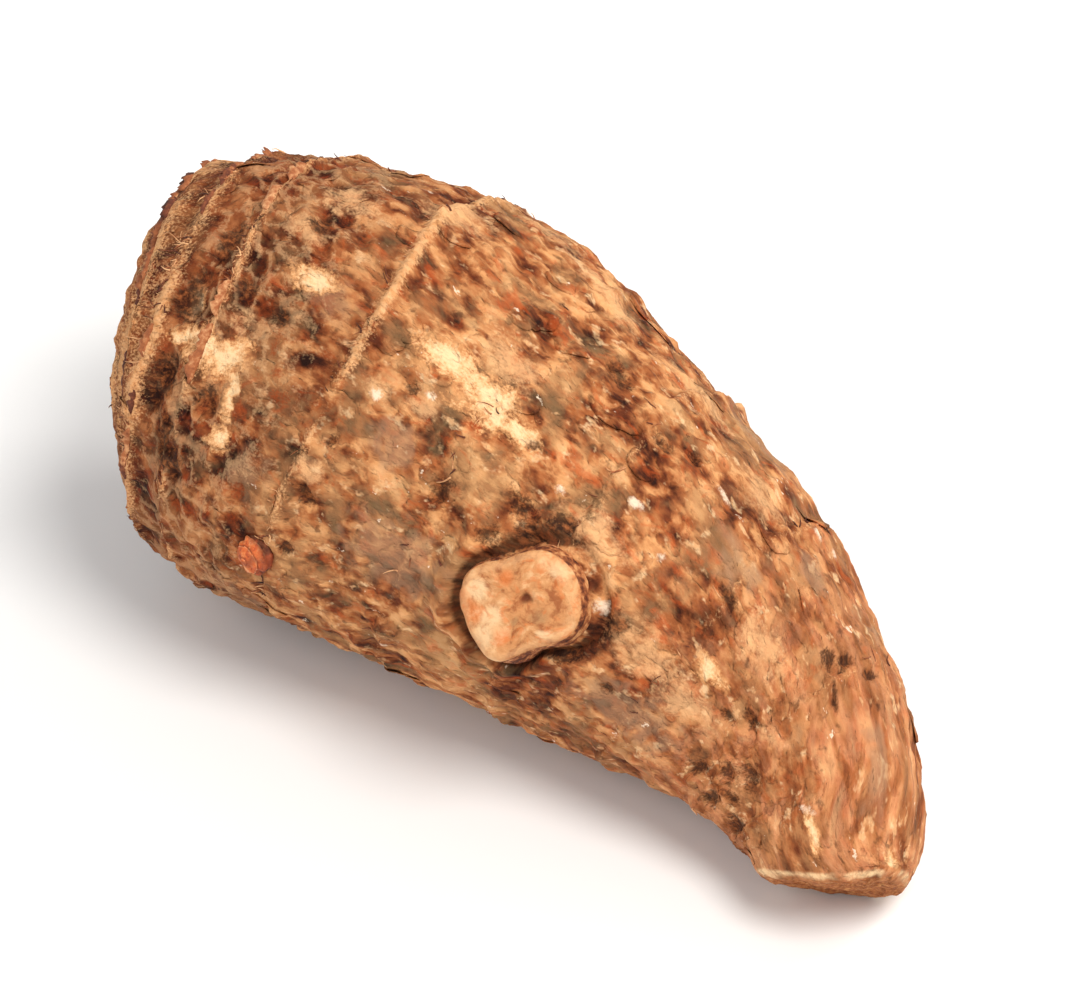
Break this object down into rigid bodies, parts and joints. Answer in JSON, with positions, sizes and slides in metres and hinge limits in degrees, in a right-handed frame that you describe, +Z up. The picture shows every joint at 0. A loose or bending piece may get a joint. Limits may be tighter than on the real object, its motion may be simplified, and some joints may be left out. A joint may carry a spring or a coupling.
{
  "type": "taro root",
  "caption": "Small eddoe taro root: a bowed, tapering brown corm with ring-shaped leaf scars, a cut side-shoot stub and sleeping buds, lying on its belly.",
  "frame": {"origin": "on the surface it lies on, under the middle of its bounding box", "axes": "+X from the blunt crown to the broken tip, +Y towards the outside of the bow, +Z up"},
  "size_m": [0.1132, 0.0578, 0.0515],
  "materials": {
    "corky_skin": "matte, rough, fibrous brown corky skin",
    "cut_flesh": "matte, dried pale tan cut face",
    "bud_scale": "matte, papery orange-brown scale",
    "leaf_base_fibre": "matte, dry frayed brown fibre"
  },
  "bodies": {
    "root": {"taro_corm": "corky_skin"}
  },
  "joints": []
}
